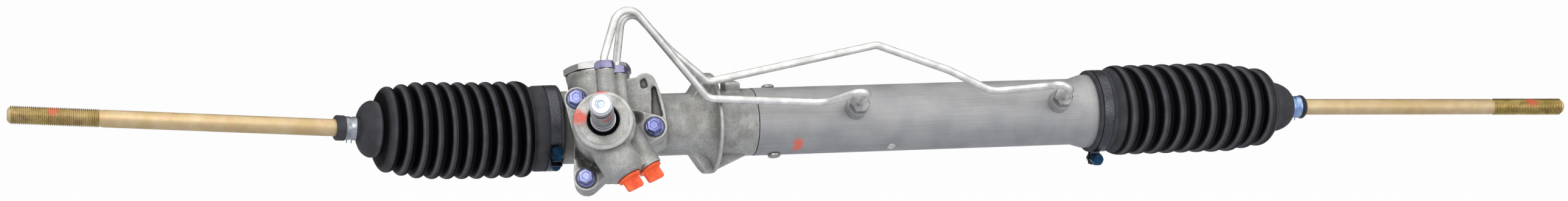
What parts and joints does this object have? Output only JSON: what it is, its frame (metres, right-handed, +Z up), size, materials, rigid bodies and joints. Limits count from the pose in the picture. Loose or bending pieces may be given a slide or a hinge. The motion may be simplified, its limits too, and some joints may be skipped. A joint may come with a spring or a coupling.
{
  "type": "steering rack",
  "caption": "Hydraulic power steering rack with angled pinion and rotary valve housing, steel cylinder, rigid pipes, ball-jointed threaded tie rods and rubber boots",
  "frame": {"origin": "middle of the left clamp seat, on the rack axis", "axes": "+X along the rack to the right, +Z up, the input shaft points to -Y and a little up"},
  "size_m": [1.2976, 0.1852, 0.1477],
  "materials": {
    "cast_aluminium": "sand-blasted die casting, unpainted",
    "zinc_steel": "drawn steel tube, clear zinc",
    "blue_zinc": "blue-passivated zinc plating",
    "ground_steel": "ground and hardened steel",
    "bright_steel": "polished steel",
    "turned_steel": "turned steel",
    "boot_rubber": "moulded black rubber",
    "seal_rubber": "moulded nitrile rubber",
    "black_band": "black coated steel strip",
    "plug_plastic": "injection-moulded orange plastic",
    "seat_plastic": "moulded acetal",
    "bush_bronze": "sintered bronze"
  },
  "bodies": {
    "housing": {"rack_housing": "cast_aluminium", "valve_housing": "cast_aluminium", "housing_bolts": "blue_zinc", "cylinder_tube": "zinc_steel", "cylinder_ports": "zinc_steel", "locating_screws": "turned_steel", "inner_rack_seal": "seal_rubber", "right_guide": "cast_aluminium", "outer_rack_seal": "seal_rubber", "rod_bush": "bush_bronze", "retaining_ring": "turned_steel", "lower_bearing": "bright_steel", "upper_bearing": "bright_steel", "pinion_seal": "seal_rubber", "bottom_cap": "turned_steel", "input_bearing": "bright_steel", "input_seal": "seal_rubber", "yoke": "cast_aluminium", "yoke_liner": "bush_bronze", "yoke_spring": "turned_steel", "yoke_plug": "cast_aluminium", "yoke_lock_nut": "cast_aluminium", "front_pipe": "zinc_steel", "rear_pipe": "zinc_steel", "pipe_nuts": "blue_zinc", "port_plugs": "plug_plastic", "left_boot": "boot_rubber", "right_boot": "boot_rubber", "left_boot_clamp": "black_band", "right_boot_clamp": "black_band", "left_clamp_screw": "blue_zinc", "right_clamp_screw": "blue_zinc"},
    "rack": {"rack_bar": "ground_steel", "piston": "turned_steel", "piston_ring": "seat_plastic", "lock_washers": "turned_steel", "left_socket": "turned_steel", "right_socket": "turned_steel", "left_ball_seat": "seat_plastic", "right_ball_seat": "seat_plastic"},
    "left_rod": {"left_tie_rod": "turned_steel", "left_rod_clip": "zinc_steel"},
    "right_rod": {"right_tie_rod": "turned_steel", "right_rod_clip": "zinc_steel"},
    "pinion": {"pinion": "ground_steel", "pinion_nut": "turned_steel", "valve_sleeve": "ground_steel", "sleeve_rings": "seat_plastic", "drive_pin": "turned_steel"},
    "input": {"input_shaft": "ground_steel", "torsion_bar": "bright_steel"}
  },
  "joints": [
    {"name": "rack_slide", "type": "slide", "parent": "housing", "child": "rack", "axis": [1, 0, 0], "range_m": [-0.08, 0.052], "deforming": ["left_boot", "right_boot"]},
    {"name": "left_rod_swing", "type": "hinge", "parent": "rack", "child": "left_rod", "pos_m": [-0.24, 0, 0], "axis": [0, 1, 0], "range_deg": [-26.1, 17.9]},
    {"name": "right_rod_swing", "type": "hinge", "parent": "rack", "child": "right_rod", "pos_m": [0.415, 0, 0], "axis": [0, 1, 0], "range_deg": [-23.65, 20.35]},
    {"name": "pinion_spin", "type": "hinge", "parent": "housing", "child": "pinion", "pos_m": [-0.1075, -0.00573, -0.01573], "axis": [-0.2334, -0.9137, 0.3326], "range_deg": [-395.54, 607.98]},
    {"name": "input_twist", "type": "hinge", "parent": "pinion", "child": "input", "pos_m": [-0.1075, -0.00573, -0.01573], "axis": [-0.2334, -0.9137, 0.3326], "range_deg": [-5, 5], "stiffness_Nm_per_rad": 90}
  ],
  "couplings": [
    {"joint": "pinion_spin", "follows": "rack_slide", "rad_per_m": -132.42}
  ]
}
